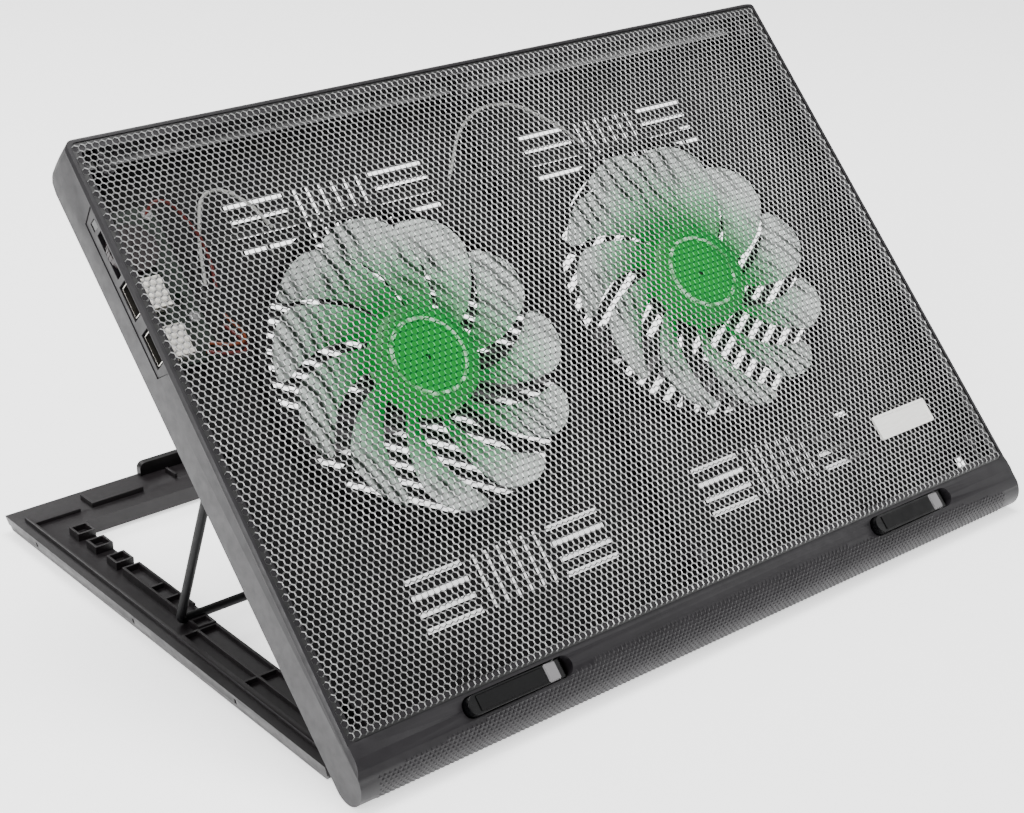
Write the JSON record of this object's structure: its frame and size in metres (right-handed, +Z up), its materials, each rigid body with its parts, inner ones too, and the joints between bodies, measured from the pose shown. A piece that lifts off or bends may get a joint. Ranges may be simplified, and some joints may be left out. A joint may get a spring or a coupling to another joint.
{
  "type": "laptop cooling pad",
  "caption": "Tilting laptop cooling pad: perforated deck over lit fans, hinged to a frame base with a wire prop bail, flip-up front stoppers, side sockets and a speed dial.",
  "frame": {"origin": "on the table plane, at the middle of the outline with the deck raised as stored", "axes": "+X runs along the deck's width towards the user's right, +Y away from the user to the raised rear edge, +Z up"},
  "size_m": [0.38, 0.2832, 0.2089],
  "materials": {
    "base_plastic": "fine satin moulded texture",
    "ratchet_plastic": "satin, lighter worn rib edges",
    "lug_plastic": "satin",
    "foot_rubber": "dull",
    "steel_pins": "ground",
    "deck_plastic": "satin dark grey, fine texture",
    "cover_plastic": "satin",
    "mesh_steel": "black coated, bright worn webs",
    "plate_metal": "pale satin, blank",
    "panel_plastic": "satin",
    "lens_plastic": "translucent",
    "socket_shell": "nickel plated with dark tongue",
    "board_laminate": "green solder mask",
    "led_resin": "clear",
    "pot_plastic": "black",
    "dial_plastic": "knurled satin",
    "motor_plastic": "black",
    "green_led": "glowing green",
    "rotor_plastic": "translucent milky",
    "lead_insulation": "black PVC",
    "screw_steel": "zinc plated",
    "screw_black": "blackened",
    "seat_plastic": "satin",
    "bail_wire": "black powder coat",
    "stopper_plastic": "satin black",
    "pad_rubber": "soft matt"
  },
  "bodies": {
    "base": {"base_frame": "base_plastic", "ratchet_blocks": "ratchet_plastic", "rear_lug": "lug_plastic", "base_feet": "foot_rubber", "hinge_pins": "steel_pins"},
    "deck": {"deck_frame": "deck_plastic", "bottom_cover": "cover_plastic", "mesh_panel": "mesh_steel", "name_plate": "plate_metal", "port_panel": "panel_plastic", "indicator_lens": "lens_plastic", "usb_socket_rear": "socket_shell", "usb_socket_front": "socket_shell", "control_board": "board_laminate", "indicator_led": "led_resin", "dial_potentiometer": "pot_plastic", "fan_motor_left": "motor_plastic", "fan_motor_right": "motor_plastic", "fan_leds_left": "green_led", "fan_leds_right": "green_led", "fan_leads": "lead_insulation", "motor_screws": "screw_steel", "cover_screws": "screw_black", "board_screws": "screw_steel", "bail_seats": "seat_plastic", "stopper_pins": "steel_pins"},
    "dial": {"speed_dial": "dial_plastic"},
    "rotor_left": {"fan_rotor_left": "rotor_plastic"},
    "rotor_right": {"fan_rotor_right": "rotor_plastic"},
    "bail": {"prop_bail": "bail_wire"},
    "left_stopper": {"stopper_left": "stopper_plastic", "stopper_pad_left": "pad_rubber"},
    "right_stopper": {"stopper_right": "stopper_plastic", "stopper_pad_right": "pad_rubber"}
  },
  "joints": [
    {"name": "deck_tilt", "type": "hinge", "parent": "base", "child": "deck", "pos_m": [0, -0.12043, 0.0139], "axis": [1, 0, 0], "range_deg": [-45, 0]},
    {"name": "bail_fold", "type": "hinge", "parent": "base", "child": "bail", "pos_m": [0, 0.00437, 0.0114], "axis": [1, 0, 0], "range_deg": [-113, 0]},
    {"name": "fan_spin_left", "type": "hinge", "parent": "deck", "child": "rotor_left", "pos_m": [-0.0777, -0.03377, 0.11371], "axis": [0, -0.7193, 0.6947], "continuous": true},
    {"name": "fan_spin_right", "type": "hinge", "parent": "deck", "child": "rotor_right", "pos_m": [0.0777, -0.03377, 0.11371], "axis": [0, -0.7193, 0.6947], "continuous": true},
    {"name": "stopper_flip_left", "type": "hinge", "parent": "deck", "child": "left_stopper", "pos_m": [-0.0905, -0.13324, 0.01849], "axis": [0, 0.6947, 0.7193], "range_deg": [-5, 80]},
    {"name": "stopper_flip_right", "type": "hinge", "parent": "deck", "child": "right_stopper", "pos_m": [0.139, -0.13324, 0.01849], "axis": [0, 0.6947, 0.7193], "range_deg": [-5, 80]},
    {"name": "speed_dial_turn", "type": "hinge", "parent": "deck", "child": "dial", "pos_m": [-0.1797, 0.01608, 0.17123], "axis": [0, -0.7193, 0.6947], "range_deg": [-140, 140]}
  ],
  "couplings": [
    {"joint": "bail_fold", "follows": "deck_tilt", "ratio": 2.4889}
  ]
}
